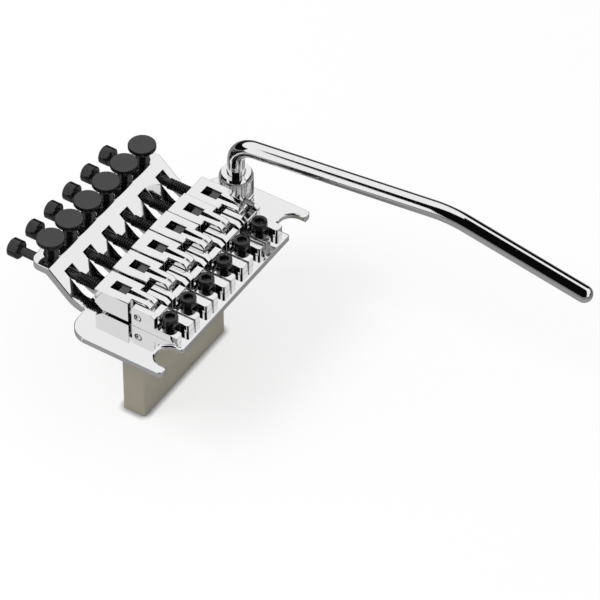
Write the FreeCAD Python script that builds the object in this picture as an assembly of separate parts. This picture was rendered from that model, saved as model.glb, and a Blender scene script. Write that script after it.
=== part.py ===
import FreeCAD, Part
import math
import os

from FreeCAD import Vector

# A double-locking guitar tremolo bridge, in millimetres. The origin is midway between the
# two knife edges, on the plate's top face. +X runs to the arm side, +Y to the fine tuners
# at the rear and +Z up out of the plate. The sizes along Y are measured from the row of
# hold-down screws, and the finished pieces are moved so that the knife edges lie at Y zero.

# Strings
string_count = 6
string_pitch = 10.7
string_radius = 250.0          # radius of the arc that the string tops follow

# Base plate
plate_thick = 3.0
plate_front = 8.6              # screw row to front edge
wing_rear = 28.9               # screw row to the wings' rear edge
wing_corner_radius = 7.2
wing_tip_radius = 1.3
plate_edge_round = 0.35
plate_under_round = 1.0        # rounding of the plate's lower edge
stud_margin = 10.25            # outer string to stud centre
wing_tip_width = 3.65          # plate outside a stud notch
notch_radius = 4.6
notch_depth = 7.0              # front edge to the notch's round end
notch_corner_radius = 1.05
notch_rim_width = 0.9          # bevel round the notch's upper rim
notch_rim_depth = 0.45
knife_land = 1.9               # top face to the foot of the notch's upright wall
knife_relief = 1.0             # how far the notch is undercut at the plate's lower face

# Tail: sloped panel and tuner shelf, bent up from the plate
tail_left_margin = 6.85        # outer string to the tail's side
tail_right_margin = 5.2
tail_flare_radius = 1.2        # inside corner between a tail side and the wing
tail_angle = 43.5
tail_root_y = 32.3
shelf_top = 10.4
shelf_rear = 51.2
shelf_corner_radius = 3.6
root_bend_radius = 7.5
shelf_bend_radius = 0.9
tail_overlap = 3.0             # tail strip sunk into the plate where the two are one sheet

# Saddle base: forked foot with two ears
saddle_side_gap = 0.5          # between neighbouring saddle bodies
base_side_gap = 0.8            # between neighbouring saddle bases
foot_front = -6.0
foot_height = 3.2
foot_corner_radius = 0.35
ear_front = 2.85
ear_rear = 11.94
ear_height = 8.4
ear_front_bevel_y = 1.65
ear_front_bevel_z = 1.15
ear_rear_bevel = 0.6
fork_width = 3.4
fork_end = 3.9
fork_mouth_radius = 0.9
channel_front = 4.9
channel_floor = 1.6
web_land = 0.05
web_bevel = 0.35
web_rise = 0.6                 # of the web's top from its bevel to its rear edge

# Saddle body: string block with a nose between the ears
body_front = 13.1
body_rear = 26.3
body_bottom = 0.85
body_bevel_y = 2.7
body_bevel_z = 2.1
body_edge_round = 0.3
outer_body_top = 9.3           # height of the outermost saddles
nose_width = 5.3
nose_front = 5.7
nose_radius = 2.8
nose_edge_round = 0.5
nose_heel_radius = 2.2
window_front = 16.0
window_rear = 22.2
window_width = 3.9
window_floor = 1.8
slit_width_rear = 1.9
slit_width_front = 0.9
slit_floor_rear = 5.0
slit_front = 8.8
crest_groove_radius = 0.45

# Saddle pin
pin_y = 9.46
pin_z = 4.44
pin_radius = 1.4
pin_chamfer = 0.25
pin_recess = 0.1

# Clamp block
clamp_length = 3.1
clamp_front_gap = 0.4
clamp_side_gap = 0.1
clamp_floor_gap = 0.15
clamp_top_drop = 0.7

# String lock screw
lock_z = 5.0
lock_thread_radius = 2.0
lock_shank_radius = 1.6
lock_point_radius = 1.7          # plain point inside the window
lock_thread_end = 36.4
lock_head_front = 59.25
lock_head_length = 4.0
lock_head_radius = 3.3
lock_head_chamfer = 0.35
lock_socket_flats = 3.0
lock_socket_depth = 2.2

# Tail slots
slot_side_gap = 0.1
slot_head_room = 0.75
slot_front = 29.9

# Fine tuner
tuner_y = 46.9
tuner_top = 17.55
tuner_head_radius = 4.85
tuner_rim_height = 1.6
tuner_cone_height = 1.5
tuner_neck_radius = 2.6
tuner_stem_radius = 2.45
tuner_tip_radius = 1.5
tuner_tip_length = 0.6
tuner_edge_chamfer = 0.3
tuner_tip_gap = 0.25

# Hold-down screw
hold_thread_radius = 1.5
hold_head_radius = 2.75
hold_head_height = 3.0
hold_head_chamfer = 0.25
hold_socket_flats = 3.0
hold_socket_depth = 1.6

# Sustain block
block_length = 48.7
block_depth = 8.45
block_height = 38.2
block_x = -7.5
block_y = 12.075
block_edge_round = 0.6
spring_hole_count = 5
spring_hole_pitch = 10.0
spring_hole_radius = 1.3
spring_hole_depth = 8.0
drill_point_angle = 118.0

# Block screws
block_screw_count = 3
block_screw_pitch = 17.0
block_screw_radius = 2.0
block_screw_head_radius = 3.6
block_screw_depth = 9.0        # thread length below the plate
block_screw_drive_flats = 2.5
block_screw_drive_depth = 1.4

# Arm and its socket
arm_side_inset = 5.95          # plate side to socket axis
arm_rear_inset = 11.5          # wings' rear edge to socket axis
arm_radius = 3.0
arm_height = 22.65             # height of the straight run's line above the socket axis
arm_rise = 2.1
arm_knee_reach = 79.8
arm_drop = 16.0
arm_reach = 131.5
arm_swing = 5.0                # rest direction, outward from straight ahead
arm_bend_radius = 7.3
arm_knee_radius = 40.0
arm_foot_z = -10.5
arm_ring_radius = 3.9
arm_ring_height = 0.9
socket_radius = 4.2
socket_top = 5.5
socket_bottom = -13.0
socket_nut_flats = 11.0
socket_nut_height = 3.2
washer_height = 1.1
washer_radius = 4.0
stack_gap = 0.1                # play between ring, washers and collar
collar_radius = 5.95
collar_bottom = 0.35
collar_rim = 9.0               # height where the knurl ends and the bevel starts
collar_top = 10.2
collar_bevel = 0.75

# Fits
running_gap = 0.05             # radial clearance of a turning or sliding round fit
thread_gap = 0.03              # radial clearance of a fixed thread
slide_gap = 0.05               # a sliding foot above its plate
head_gap = 0.1                 # a screw head above a sliding foot
nose_side_gap = 0.25
collar_hole_gap = 0.1

# Derived sizes and places
string_span = (string_count - 1) * string_pitch
saddle_xs = [index * string_pitch - string_span / 2 for index in range(string_count)]
saddle_width = string_pitch - saddle_side_gap
base_width = string_pitch - base_side_gap
stud_spacing = string_span + 2 * stud_margin
plate_width = stud_spacing + 2 * (notch_radius + wing_tip_width)
knife_y = notch_depth - plate_front
tail_left = -string_span / 2 - tail_left_margin
tail_right = string_span / 2 + tail_right_margin
arm_x = plate_width / 2 - arm_side_inset
arm_y = wing_rear - arm_rear_inset
tail_slope = math.radians(tail_angle)
shelf_front = tail_root_y + shelf_top / math.tan(tail_slope)
shelf_bottom = shelf_top - plate_thick
lock_tip = window_front + clamp_front_gap + clamp_length + slide_gap
slot_width = 2 * (lock_thread_radius + slot_side_gap)
slot_top = lock_z + lock_shank_radius + slot_head_room
ear_inner = nose_width / 2 + nose_side_gap
hold_seat = slide_gap + foot_height + head_gap
hold_head_top = hold_seat + hold_head_height
web_bottom = hold_head_top + head_gap
spring_hole_xs = [block_x + (index - (spring_hole_count - 1) / 2) * spring_hole_pitch
                  for index in range(spring_hole_count)]
block_screw_xs = [block_x + (index - (block_screw_count - 1) / 2) * block_screw_pitch
                  for index in range(block_screw_count)]
over = 1.0                     # how far a cutting tool runs past the face it opens


def body_top(index):
    """Height of a saddle's top face, on an arc across the strings."""
    outer_drop = saddle_xs[0] ** 2 / (2 * string_radius)
    return outer_body_top + outer_drop - saddle_xs[index] ** 2 / (2 * string_radius)


def box(x_low, x_high, y_low, y_high, z_low, z_high):
    return Part.makeBox(x_high - x_low, y_high - y_low, z_high - z_low, Vector(x_low, y_low, z_low))


def upright(x, y, radius, z_low, z_high):
    """A vertical cylinder."""
    return Part.makeCylinder(radius, z_high - z_low, Vector(x, y, z_low))


def along_y(x, z, radius, y_low, y_high):
    return Part.makeCylinder(radius, y_high - y_low, Vector(x, y_low, z), Vector(0, 1, 0))


def along_x(y, z, radius, x_low, x_high):
    return Part.makeCylinder(radius, x_high - x_low, Vector(x_low, y, z), Vector(1, 0, 0))


def turned(profile, x, y):
    """A solid turned about a vertical axis, from (radius, height) corners."""
    corners = [Vector(x + radius, y, height) for radius, height in profile]
    face = Part.Face(Part.makePolygon(corners + corners[:1]))
    return face.revolve(Vector(x, y, 0), Vector(0, 0, 1), 360)


def turned_along_y(profile, x, z):
    """A solid turned about a line along Y, from (radius, y) corners."""
    corners = [Vector(x + radius, y, z) for radius, y in profile]
    face = Part.Face(Part.makePolygon(corners + corners[:1]))
    return face.revolve(Vector(x, 0, z), Vector(0, 1, 0), 360)


def hexagon(centre, axis, flats, depth, side=Vector(1, 0, 0)):
    """A hexagonal prism that starts at centre and runs along axis, with a corner towards side."""
    outer = flats / math.sqrt(3)
    other = axis.cross(side)
    corners = []
    for step in range(6):
        angle = math.radians(60 * step)
        corners.append(centre + side * (outer * math.cos(angle)) + other * (outer * math.sin(angle)))
    return Part.Face(Part.makePolygon(corners + corners[:1])).extrude(axis * depth)


def rounded_face(corners, place):
    """A flat face from (u, v, radius) corners, each rounded by a tangent arc of its radius."""
    points = [Vector(u, v, 0) for u, v, radius in corners]
    joints = []
    for index, point in enumerate(points):
        radius = corners[index][2]
        back = (points[index - 1] - point).normalize()
        ahead = (points[(index + 1) % len(points)] - point).normalize()
        half = back.getAngle(ahead) / 2
        if radius == 0:
            joints.append((point, None, point))
            continue
        reach = radius / math.tan(half)
        middle = (back + ahead).normalize()
        tip = point + middle * (radius / math.sin(half) - radius)
        joints.append((point + back * reach, tip, point + ahead * reach))
    edges = []
    for index, (start, tip, end) in enumerate(joints):
        if tip is not None:
            edges.append(Part.Arc(place(start), place(tip), place(end)).toShape())
        following = joints[(index + 1) % len(joints)][0]
        if end.distanceToPoint(following) > 1e-6:
            edges.append(Part.LineSegment(place(end), place(following)).toShape())
    return Part.Face(Part.Wire(edges))


def plan_prism(corners, z_low, z_high):
    """An XY outline with rounded corners, raised from z_low to z_high."""
    face = rounded_face(corners, lambda point: Vector(point.x, point.y, z_low))
    return face.extrude(Vector(0, 0, z_high - z_low))


def side_prism(corners, x_low, x_high):
    """A YZ outline with rounded corners, carried from x_low to x_high."""
    face = rounded_face(corners, lambda point: Vector(x_low, point.x, point.y))
    return face.extrude(Vector(x_high - x_low, 0, 0))


def level_edges(solid, height):
    """The edges of a solid that lie wholly at one height."""
    return [edge for edge in solid.Edges
            if abs(edge.BoundBox.ZMin - height) < 1e-4 and abs(edge.BoundBox.ZMax - height) < 1e-4]


def joined(first, *others):
    return first.fuse(list(others)).removeSplitter()


# Base plate

def plate_outline():
    """The plate from above: front edge, stud notches, wing tips and rounded rear corners."""
    side = plate_width / 2
    stud = stud_spacing / 2
    inner = stud - notch_radius
    outer = stud + notch_radius
    right = [
        (inner, -plate_front, notch_corner_radius),
        (inner, knife_y, notch_radius),
        (outer, knife_y, notch_radius),
        (outer, -plate_front, notch_corner_radius),
        (side, -plate_front, wing_tip_radius),
        (side, wing_rear, wing_corner_radius),
    ]
    left = [(-x, y, radius) for x, y, radius in reversed(right)]
    return right + left


def tail_strip():
    """The bent strip behind the plate: root bend, sloped panel, shelf with round rear corners."""
    miter = plate_thick * math.tan(tail_slope / 2)
    start = wing_rear - tail_overlap
    profile = [
        (start, 0, 0),
        (tail_root_y, 0, root_bend_radius),
        (shelf_front, shelf_top, shelf_bend_radius),
        (shelf_rear, shelf_top, plate_edge_round),
        (shelf_rear, shelf_bottom, plate_edge_round),
        (shelf_front + miter, shelf_bottom, shelf_bend_radius),
        (tail_root_y + miter, -plate_thick, root_bend_radius + plate_thick),
        (start, -plate_thick, 0),
    ]
    left = tail_left - tail_flare_radius - over
    right = tail_right + tail_flare_radius + over
    strip = side_prism(profile, left, right)
    corners = [
        (left, start - over, 0),
        (right, start - over, 0),
        (right, wing_rear, 0),
        (tail_right, wing_rear, tail_flare_radius),
        (tail_right, shelf_rear, shelf_corner_radius),
        (tail_left, shelf_rear, shelf_corner_radius),
        (tail_left, wing_rear, tail_flare_radius),
        (left, wing_rear, 0),
    ]
    return strip.common(plan_prism(corners, -plate_thick - over, shelf_top + over))


def flared_notch(stud_x, start, depth, grow):
    """A cutter like a stud notch whose wall leans outward by grow over a signed depth from start."""
    centre = Vector(stud_x, knife_y - notch_radius, start)
    along = Vector(0, 0, math.copysign(1, depth))
    round_end = Part.makeCone(notch_radius, notch_radius + grow, abs(depth), centre, along)
    corners = [
        centre + Vector(-notch_radius, 0, 0), centre + Vector(notch_radius, 0, 0),
        centre + Vector(notch_radius + grow, 0, depth), centre + Vector(-notch_radius - grow, 0, depth),
    ]
    mouth = Part.Face(Part.makePolygon(corners + corners[:1])).extrude(Vector(0, -plate_front, 0))
    return round_end.fuse(mouth)


def notch_bevels(stud_x):
    """The bevel round a notch's upper rim and the undercut that sharpens its wall below."""
    rim = flared_notch(stud_x, -notch_rim_depth, 2 * notch_rim_depth, 2 * notch_rim_width)
    under = plate_thick - knife_land
    relief = flared_notch(stud_x, -knife_land, -2 * under, 2 * knife_relief)
    return [rim, relief]


def countersink(x, gap):
    """The cone and shank of a countersunk block screw, grown by gap."""
    shank = block_screw_radius + gap
    head = block_screw_head_radius + gap
    drop = head - shank
    profile = [(0, 0), (head, 0), (shank, -drop), (shank, -plate_thick - over), (0, -plate_thick - over)]
    return turned(profile, x, block_y)


def base_plate():
    plate = plan_prism(plate_outline(), -plate_thick, 0)
    plate = plate.makeFillet(plate_edge_round, level_edges(plate, 0))
    plate = plate.makeFillet(plate_under_round, level_edges(plate, -plate_thick))
    plate = joined(plate, tail_strip())
    low = -plate_thick - over
    tools = []
    for stud_x in (-stud_spacing / 2, stud_spacing / 2):
        tools.extend(notch_bevels(stud_x))
    for x in saddle_xs:
        half = slot_width / 2
        slot_rear = shelf_front + plate_thick
        tools.append(box(x - half, x + half, slot_front, slot_rear, low, slot_top))
        bore = tuner_stem_radius + running_gap
        tools.append(upright(x, tuner_y, bore, shelf_bottom - over, shelf_top + over))
        tools.append(upright(x, 0, hold_thread_radius + thread_gap, low, over))
    for x in block_screw_xs:
        tools.append(countersink(x, thread_gap))
    tools.append(upright(arm_x, arm_y, socket_radius + thread_gap, low, over))
    return plate.cut(tools)


# Sustain block and its screws

def spring_hole(x, bottom):
    """A drilled hole in the block's foot, with the drill's cone at its end."""
    end = bottom + spring_hole_depth
    point = spring_hole_radius / math.tan(math.radians(drill_point_angle / 2))
    mouth = bottom - over
    profile = [(0, mouth), (spring_hole_radius, mouth), (spring_hole_radius, end), (0, end + point)]
    return turned(profile, x, block_y)


def sustain_block():
    half_length = block_length / 2
    half_depth = block_depth / 2
    corners = [
        (block_x - half_length, block_y - half_depth, block_edge_round),
        (block_x + half_length, block_y - half_depth, block_edge_round),
        (block_x + half_length, block_y + half_depth, block_edge_round),
        (block_x - half_length, block_y + half_depth, block_edge_round),
    ]
    top = -plate_thick
    bottom = top - block_height
    block = plan_prism(corners, bottom, top)
    tools = [spring_hole(x, bottom) for x in spring_hole_xs]
    for x in block_screw_xs:
        hole = block_screw_radius + thread_gap
        tools.append(upright(x, block_y, hole, top - block_screw_depth - over, top + over))
    return block.cut(tools)


def block_screws():
    """Countersunk screws that draw the block up against the plate."""
    screws = []
    end = -plate_thick - block_screw_depth
    for x in block_screw_xs:
        drop = block_screw_head_radius - block_screw_radius
        profile = [(0, 0), (block_screw_head_radius, 0), (block_screw_radius, -drop),
                   (block_screw_radius, end), (0, end)]
        drive = hexagon(Vector(x, block_y, -block_screw_drive_depth), Vector(0, 0, 1),
                        block_screw_drive_flats, block_screw_drive_depth + over)
        screws.append(turned(profile, x, block_y).cut(drive))
    return Part.makeCompound(screws)


# Saddles

def saddle_base(x):
    """Forked foot with two ears, a channel between them for the nose and a web across their front."""
    side = base_width / 2
    fork = fork_width / 2
    outline = [
        (x - side, foot_front, foot_corner_radius), (x - fork, foot_front, fork_mouth_radius),
        (x - fork, fork_end, fork), (x + fork, fork_end, fork),
        (x + fork, foot_front, fork_mouth_radius), (x + side, foot_front, foot_corner_radius),
        (x + side, ear_rear, 0), (x - side, ear_rear, 0),
    ]
    foot = plan_prism(outline, slide_gap, foot_height)
    ear = [
        (ear_front, slide_gap, 0), (ear_front, ear_height - ear_front_bevel_z, 0),
        (ear_front + ear_front_bevel_y, ear_height, 0), (ear_rear - ear_rear_bevel, ear_height, 0),
        (ear_rear, ear_height - ear_rear_bevel, 0), (ear_rear, slide_gap, 0),
    ]
    left = side_prism(ear, x - side, x - ear_inner)
    right = side_prism(ear, x + ear_inner, x + side)
    channel = box(x - ear_inner, x + ear_inner, channel_front, ear_rear + over,
                  channel_floor, ear_height + over)
    bevel_top = web_bottom + web_land + web_bevel
    web = side_prism([
        (ear_front, web_bottom, 0), (ear_front, web_bottom + web_land, 0),
        (ear_front + web_bevel, bevel_top, 0), (channel_front, bevel_top + web_rise, 0),
        (channel_front, web_bottom, 0),
    ], x - side, x + side)
    hole = along_x(pin_y, pin_z, pin_radius, x - side - over, x + side + over)
    return joined(foot, left, right, web).cut([channel, hole])


def saddle_pin(x):
    half = base_width / 2 - pin_recess
    rod = along_x(pin_y, pin_z, pin_radius, x - half, x + half)
    ends = [edge for edge in rod.Edges if edge.BoundBox.XLength < 1e-6]
    return rod.makeChamfer(pin_chamfer, ends)


def saddle_nose(x, top):
    """The tongue between the ears, with a round crest and a round heel about the pin."""
    heel = pin_z - nose_heel_radius
    crest_y = nose_front + nose_radius
    profile = [
        (window_front, top, 0), (nose_front, top, nose_radius),
        (nose_front, heel + nose_heel_radius, 0), (pin_y - nose_heel_radius, heel, nose_heel_radius / 2),
        (window_front, heel, 0),
    ]
    half = nose_width / 2
    nose = side_prism(profile, x - half, x + half)
    crest = [edge for edge in nose.Edges
             if edge.BoundBox.XLength < 1e-6 and edge.BoundBox.ZMax > top - 1e-4
             and edge.BoundBox.YMin < crest_y + window_front / 2 and edge.BoundBox.YLength > 1e-4]
    return nose.makeFillet(nose_edge_round, crest)


def string_slit(x, top):
    """A tapered slit whose floor climbs from the window to the crest."""
    wedge = side_prism([
        (window_front + over, slit_floor_rear, 0), (window_front + over, top + over, 0),
        (slit_front, top + over, 0), (slit_front, top - crest_groove_radius, 0),
    ], x - slit_width_rear, x + slit_width_rear)
    rear = slit_width_rear / 2
    front = slit_width_front / 2
    taper = plan_prism([
        (x - rear, window_front + over, 0), (x - front, slit_front, 0),
        (x + front, slit_front, 0), (x + rear, window_front + over, 0),
    ], 0, top + over)
    return wedge.common(taper)


def crest_groove(x, top):
    """A round groove that follows the crest from the slit down to the nose's front."""
    centre = Vector(x, nose_front + nose_radius, top - nose_radius)
    ring = Part.makeTorus(nose_radius, crest_groove_radius, centre, Vector(1, 0, 0))
    front = box(x - nose_width, x + nose_width, nose_front - over, centre.y, centre.z, top + over)
    return ring.common(front).fuse(along_y(x, top, crest_groove_radius, centre.y, slit_front + over))


def saddle_body(x, top):
    side = saddle_width / 2
    block = side_prism([
        (body_front, body_bottom, 0), (body_rear - body_bevel_y, body_bottom, 0),
        (body_rear, body_bottom + body_bevel_z, 0), (body_rear, top, 0), (body_front, top, 0),
    ], x - side, x + side)
    block = block.makeFillet(body_edge_round, level_edges(block, top))
    solid = joined(block, saddle_nose(x, top))
    half = window_width / 2
    window = box(x - half, x + half, window_front, window_rear, window_floor, top + over)
    thread = along_y(x, lock_z, lock_thread_radius + running_gap, window_rear - over, body_rear + over)
    bore = along_x(pin_y, pin_z, pin_radius + running_gap, x - side - over, x + side + over)
    return solid.cut([window, string_slit(x, top), crest_groove(x, top), thread, bore])


def clamp_block(x, top):
    half = window_width / 2 - clamp_side_gap
    front = window_front + clamp_front_gap
    bevel = clamp_side_gap * 4
    corners = [(x - half, front, bevel), (x + half, front, bevel),
               (x + half, front + clamp_length, 0), (x - half, front + clamp_length, 0)]
    return plan_prism(corners, window_floor + clamp_floor_gap, top - clamp_top_drop)


def lock_screw(x):
    """Long cap screw: plain point, thread to the slot, thinner shank, head behind the shelf."""
    head_rear = lock_head_front + lock_head_length
    thread_start = window_rear + clamp_front_gap
    bevel = lock_thread_radius - lock_shank_radius
    profile = [
        (0, lock_tip), (lock_point_radius, lock_tip), (lock_point_radius, thread_start),
        (lock_thread_radius, thread_start + bevel),
        (lock_thread_radius, lock_thread_end - bevel), (lock_shank_radius, lock_thread_end),
        (lock_shank_radius, lock_head_front), (lock_head_radius, lock_head_front),
        (lock_head_radius, head_rear - lock_head_chamfer),
        (lock_head_radius - lock_head_chamfer, head_rear), (0, head_rear),
    ]
    socket = hexagon(Vector(x, head_rear - lock_socket_depth, lock_z), Vector(0, 1, 0),
                     lock_socket_flats, lock_socket_depth + over)
    return turned_along_y(profile, x, lock_z).cut(socket)


def fine_tuner(x):
    """Thumb screw: flat rimmed head, cone, neck and a stem that stands on the lock screw."""
    rim_bottom = tuner_top - tuner_rim_height
    neck_top = rim_bottom - tuner_cone_height
    tip = lock_z + lock_shank_radius + tuner_tip_gap
    edge_radius = tuner_head_radius - tuner_edge_chamfer
    profile = [
        (0, tip), (tuner_tip_radius, tip), (tuner_stem_radius, tip + tuner_tip_length),
        (tuner_stem_radius, neck_top - tuner_tip_length), (tuner_neck_radius, neck_top),
        (edge_radius, rim_bottom), (tuner_head_radius, rim_bottom + tuner_edge_chamfer),
        (tuner_head_radius, tuner_top - tuner_edge_chamfer), (edge_radius, tuner_top), (0, tuner_top),
    ]
    return turned(profile, x, tuner_y)


def hold_down_screws():
    screws = []
    for x in saddle_xs:
        profile = [
            (0, -plate_thick), (hold_thread_radius, -plate_thick), (hold_thread_radius, hold_seat),
            (hold_head_radius, hold_seat), (hold_head_radius, hold_head_top - hold_head_chamfer),
            (hold_head_radius - hold_head_chamfer, hold_head_top), (0, hold_head_top),
        ]
        socket = hexagon(Vector(x, 0, hold_head_top - hold_socket_depth), Vector(0, 0, 1),
                         hold_socket_flats, hold_socket_depth + over)
        screws.append(turned(profile, x, 0).cut(socket))
    return Part.makeCompound(screws)


# Arm and socket

def arm_socket():
    tube = upright(arm_x, arm_y, socket_radius, socket_bottom, socket_top)
    return tube.cut(upright(arm_x, arm_y, arm_radius + running_gap, socket_bottom - over, socket_top + over))


def socket_nut():
    bottom = -plate_thick - socket_nut_height
    nut = hexagon(Vector(arm_x, arm_y, bottom), Vector(0, 0, 1), socket_nut_flats, socket_nut_height,
                  Vector(0, 1, 0))
    return nut.cut(upright(arm_x, arm_y, socket_radius + thread_gap, bottom - over, over))


def washer_ring(bottom):
    top = bottom + washer_height
    ring = upright(arm_x, arm_y, washer_radius, bottom, top)
    return ring.cut(upright(arm_x, arm_y, arm_radius + running_gap, bottom - over, top + over))


ring_bottom = socket_top + washer_height + stack_gap
upper_washer_bottom = ring_bottom + arm_ring_height + stack_gap
collar_ceiling = upper_washer_bottom + washer_height


def arm_collar():
    """Knurled union nut: hollow below for socket and washers, holed above for the arm."""
    cavity = socket_radius + collar_hole_gap
    hole = arm_radius + collar_hole_gap
    profile = [
        (cavity, collar_bottom), (collar_radius, collar_bottom), (collar_radius, collar_rim),
        (collar_radius - collar_bevel, collar_top), (hole, collar_top), (hole, collar_ceiling),
        (cavity, collar_ceiling),
    ]
    return turned(profile, arm_x, arm_y)


def arm_path():
    """Centre line of the arm: leg, bend, straight run, knee and drop, in one upright plane."""
    swing = math.radians(arm_swing)
    rise = math.radians(arm_rise)
    drop = math.radians(arm_drop)
    knee_z = arm_height + arm_knee_reach * math.tan(rise)
    tip_reach = arm_reach - arm_radius * math.cos(drop)
    tip_z = knee_z - (tip_reach - arm_knee_reach) * math.tan(drop)
    return [(0, arm_foot_z, 0), (0, arm_height, arm_bend_radius), (arm_knee_reach, knee_z, arm_knee_radius),
            (tip_reach, tip_z, 0)], swing


def tremolo_arm():
    corners, swing = arm_path()

    def place(point):
        return Vector(arm_x + point.x * math.sin(swing), arm_y - point.x * math.cos(swing), point.y)

    points = [Vector(reach, height, 0) for reach, height, radius in corners]
    edges = []
    start = points[0]
    for index in range(1, len(points) - 1):
        back = (points[index - 1] - points[index]).normalize()
        ahead = (points[index + 1] - points[index]).normalize()
        half = back.getAngle(ahead) / 2
        radius = corners[index][2]
        reach = radius / math.tan(half)
        tip = points[index] + (back + ahead).normalize() * (radius / math.sin(half) - radius)
        first = points[index] + back * reach
        last = points[index] + ahead * reach
        edges.append(Part.LineSegment(place(start), place(first)).toShape())
        edges.append(Part.Arc(place(first), place(tip), place(last)).toShape())
        start = last
    edges.append(Part.LineSegment(place(start), place(points[-1])).toShape())
    section = Part.Wire(Part.makeCircle(arm_radius, place(points[0]), Vector(0, 0, 1)))
    rod = Part.Wire(edges).makePipeShell([section], True, False)
    ball = Part.makeSphere(arm_radius, place(points[-1]))
    ring = upright(arm_x, arm_y, arm_ring_radius, ring_bottom, ring_bottom + arm_ring_height)
    return joined(rod, ball, ring)


def build_nodes():
    nodes = {
        "base_plate": base_plate(),
        "sustain_block": sustain_block(),
        "block_screws": block_screws(),
        "hold_down_screws": hold_down_screws(),
        "arm_socket": arm_socket(),
        "socket_nut": socket_nut(),
        "arm_washer_lower": washer_ring(socket_top),
        "arm_washer_upper": washer_ring(upper_washer_bottom),
        "arm_collar": arm_collar(),
        "tremolo_arm": tremolo_arm(),
    }
    for index, x in enumerate(saddle_xs):
        number = index + 1
        top = body_top(index)
        nodes[f"saddle_base_{number}"] = saddle_base(x)
        nodes[f"saddle_pin_{number}"] = saddle_pin(x)
        nodes[f"saddle_body_{number}"] = saddle_body(x, top)
        nodes[f"clamp_block_{number}"] = clamp_block(x, top)
        nodes[f"lock_screw_{number}"] = lock_screw(x)
        nodes[f"fine_tuner_{number}"] = fine_tuner(x)
    return nodes


def main():
    os.makedirs("parts", exist_ok=True)
    for name, shape in build_nodes().items():
        shape.translate(Vector(0, -knife_y, 0))
        solids = len(shape.Solids)
        print(f"{name}: {solids} solids, valid {shape.isValid()}, {shape.Volume:.1f} mm3")
        shape.exportStep(f"parts/{name}.step")


main()
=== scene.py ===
"""Looks of a locking tremolo bridge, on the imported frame.

Lengths below are in millimetres and go into the meshes in metres. New pieces are surfaces worked
out with numpy: rows of closed rings that run from one pole on an axis to the other.
"""
import math

import bmesh
import bpy
import numpy as np
from mathutils import Matrix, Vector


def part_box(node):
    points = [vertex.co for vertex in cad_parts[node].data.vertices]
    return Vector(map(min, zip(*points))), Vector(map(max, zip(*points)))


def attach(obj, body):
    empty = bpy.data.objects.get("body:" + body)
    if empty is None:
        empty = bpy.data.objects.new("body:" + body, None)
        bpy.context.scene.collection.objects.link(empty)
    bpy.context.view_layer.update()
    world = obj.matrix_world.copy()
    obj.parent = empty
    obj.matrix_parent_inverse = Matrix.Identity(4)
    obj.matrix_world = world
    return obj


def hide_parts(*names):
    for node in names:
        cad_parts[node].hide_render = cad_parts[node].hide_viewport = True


MM = 0.001

# Strings
STRING_COUNT = 6
NUMBERS = range(1, STRING_COUNT + 1)

# Camera, fitted to the photograph's frame: angles in degrees
FRAME_PIXELS = 600
CAMERA_AZIMUTH = -57.6534
CAMERA_ELEVATION = 44.8557
CAMERA_ROLL = 0.309
CAMERA_DISTANCE = 1412.9
FOCAL_PIXELS = 4259.54
SENSOR_WIDTH = 36.0
CLIP_NEAR = 50.0
CLIP_FAR = 50000.0
AIM_POINT = (0.0, 15.6, 0.0)
AIM_RIGHT = 39.8118
AIM_UP = -11.2387

# Arm, repeated from the part's driving sizes: angles in degrees
ARM_RADIUS = 2.99
ARM_HEIGHT = 22.65
ARM_RISE = 2.1
ARM_KNEE_REACH = 79.8
ARM_DROP = 16.0
ARM_REACH = 131.48
ARM_SWING = 5.0
ARM_BEND_RADIUS = 7.3
ARM_KNEE_RADIUS = 40.0
ARM_FOOT_CHAMFER = 0.5
ARM_RING_RADIUS = 3.9
ARM_RING_LOW = 6.7
ARM_RING_HIGH = 7.6

# Rows and columns of the arm's surface
ARM_COLUMNS = 64
STRAIGHT_ROWS = 12
BEND_ROWS = 40
KNEE_ROWS = 24
TIP_ROWS = 14
RING_CLEARANCE = 0.5           # rows of the leg start this far above its ring
ON_AXIS = 1e-6                 # a smaller reach counts as the upright leg

# Knurls
RIB_HALF = 0.1                 # half of a rib's flat crest, as a share of the rib spacing
RIB_COLUMNS = 10               # columns for each rib

# Collar
COLLAR_HOLE = 3.1
COLLAR_HOLE_BEVEL = 0.25
COLLAR_CAVITY = 4.3
COLLAR_CEILING_DROP = 1.4
COLLAR_FOOT_BAND = 0.9         # plain band below the knurl
COLLAR_BAND_INSET = 0.1
COLLAR_BAND_EDGE = 0.2
COLLAR_RIM_DROP = 1.65         # top face down to the foot of the rim
COLLAR_RIM_INSET = 0.05
COLLAR_RIM_LAND = 0.12
COLLAR_RIM_GROOVE = 0.1
COLLAR_BEVEL = 0.8
COLLAR_CORNER_INSET = 0.06
COLLAR_CORNER_DROP = 0.05
COLLAR_RIBS = 56
COLLAR_RIB_LEAD = 0.25         # height over which the ribs grow out of the plain rows
KNURL_DEPTH = 0.36

# Threads and sockets
SCREW_COLUMNS = 48
THREAD_DEPTH = 0.42
THREAD_STEPS = 8               # rows for each turn
THREAD_SLOPE = 1.5             # how steeply a flank falls
THREAD_CREST = 0.3             # what is taken off the wave, which leaves a flat crest
THREAD_GAP = 0.1               # plain height between a thread and its neighbours
SOCKET_BEVEL = 0.12
SOCKET_FLOOR_SHARE = 0.3       # flats of the floor's cone, as a share of the socket's
SOCKET_FLOOR_DROP = 0.3

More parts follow.
